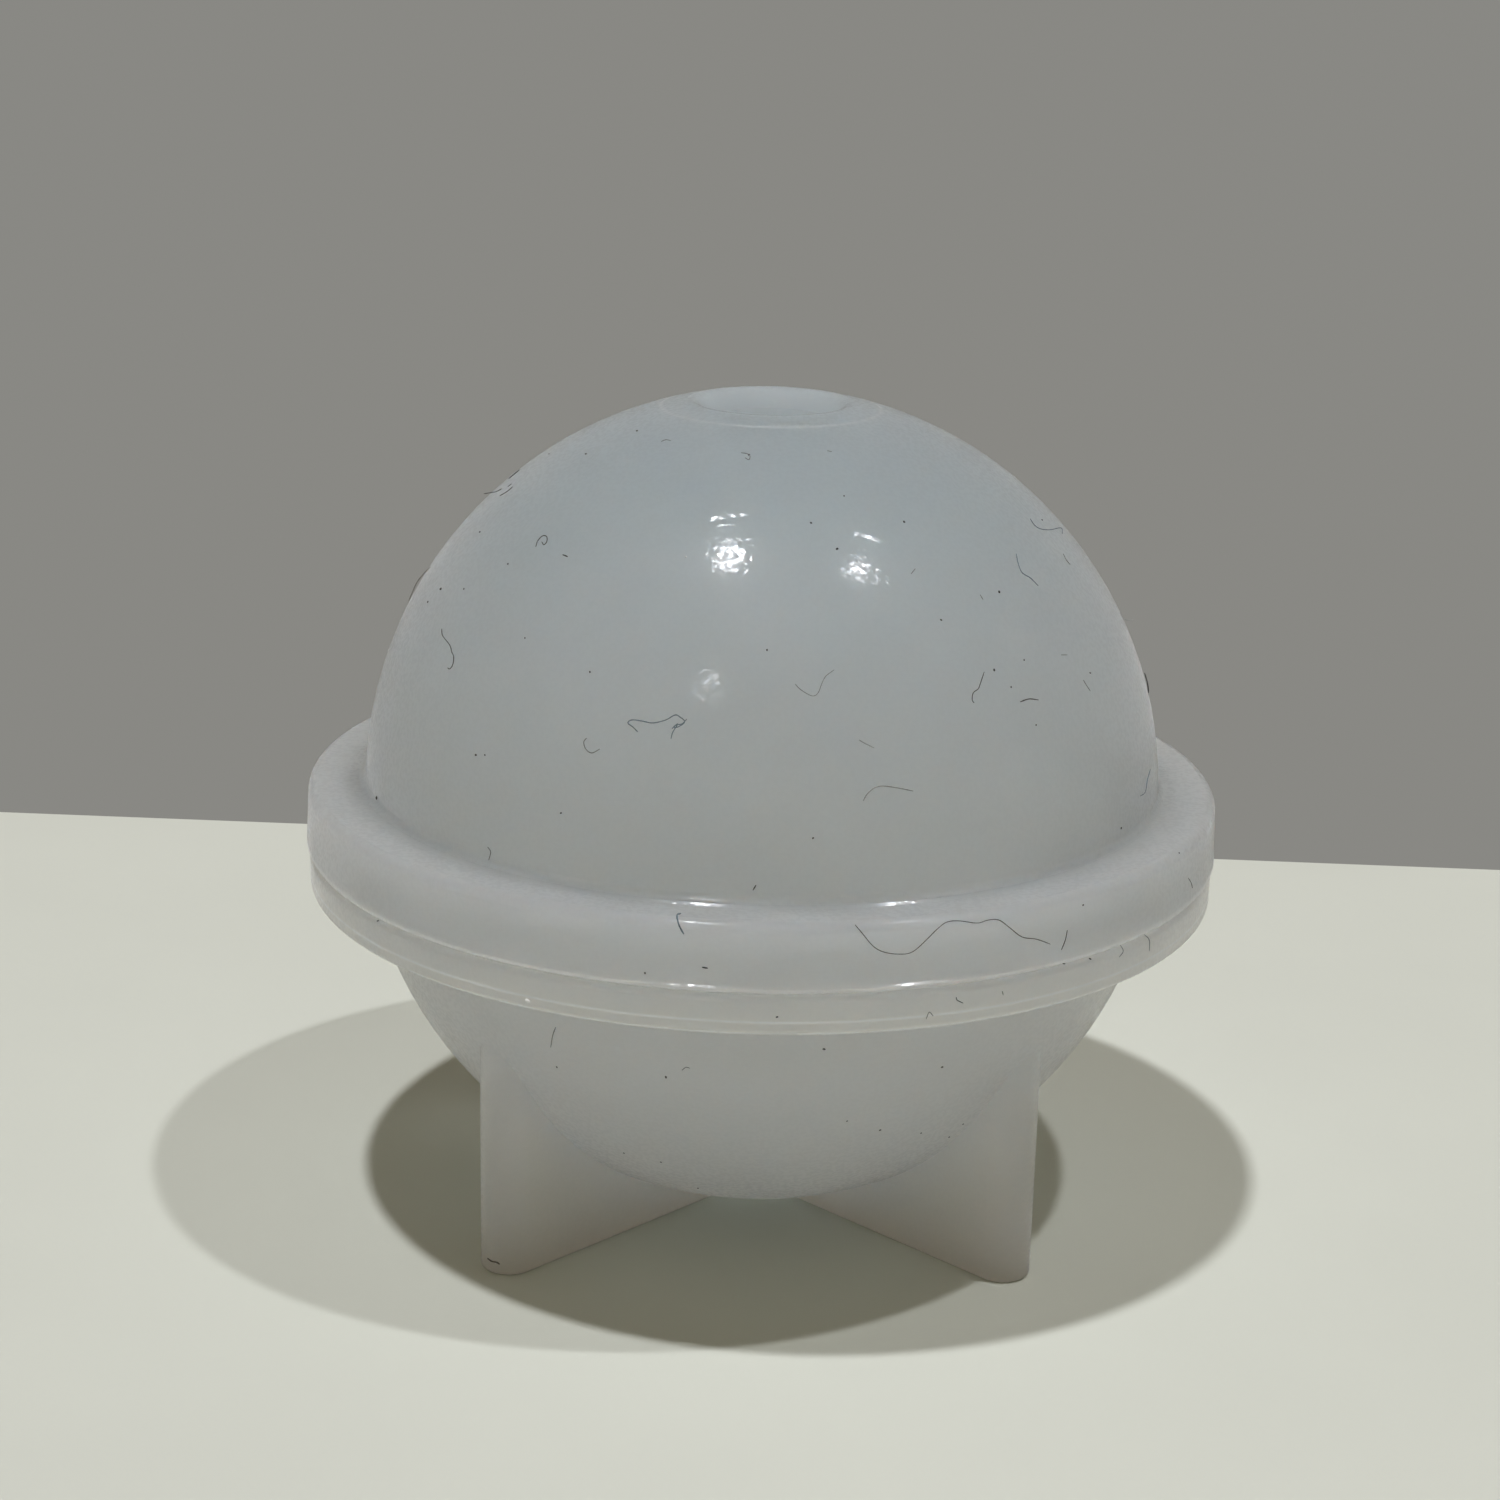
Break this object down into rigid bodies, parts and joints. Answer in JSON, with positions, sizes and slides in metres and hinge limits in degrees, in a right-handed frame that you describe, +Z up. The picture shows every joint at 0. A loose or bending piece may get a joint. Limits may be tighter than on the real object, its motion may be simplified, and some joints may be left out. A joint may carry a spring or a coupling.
{
  "type": "sphere mould",
  "caption": "Translucent silicone ball mould: a domed half with a filling hole and skirted rim seats over the lip of a finned bowl half and lifts off.",
  "frame": {"origin": "centre of the plane that the four fins stand on", "axes": "+Z up along the ball's axis, through the filling hole; the fins stand at 45 degrees between +X and +Y"},
  "size_m": [0.062, 0.062, 0.0551],
  "materials": {
    "upper_silicone": "glossy translucent silicone with lint on it",
    "lower_silicone": "glossy translucent silicone with lint on it"
  },
  "bodies": {
    "lower": {"lower_half": "lower_silicone"},
    "upper": {"upper_half": "upper_silicone"}
  },
  "joints": [
    {"name": "upper_half_lift", "type": "slide", "parent": "lower", "child": "upper", "axis": [0, 0, 1], "range_m": [0, 0.06]}
  ]
}
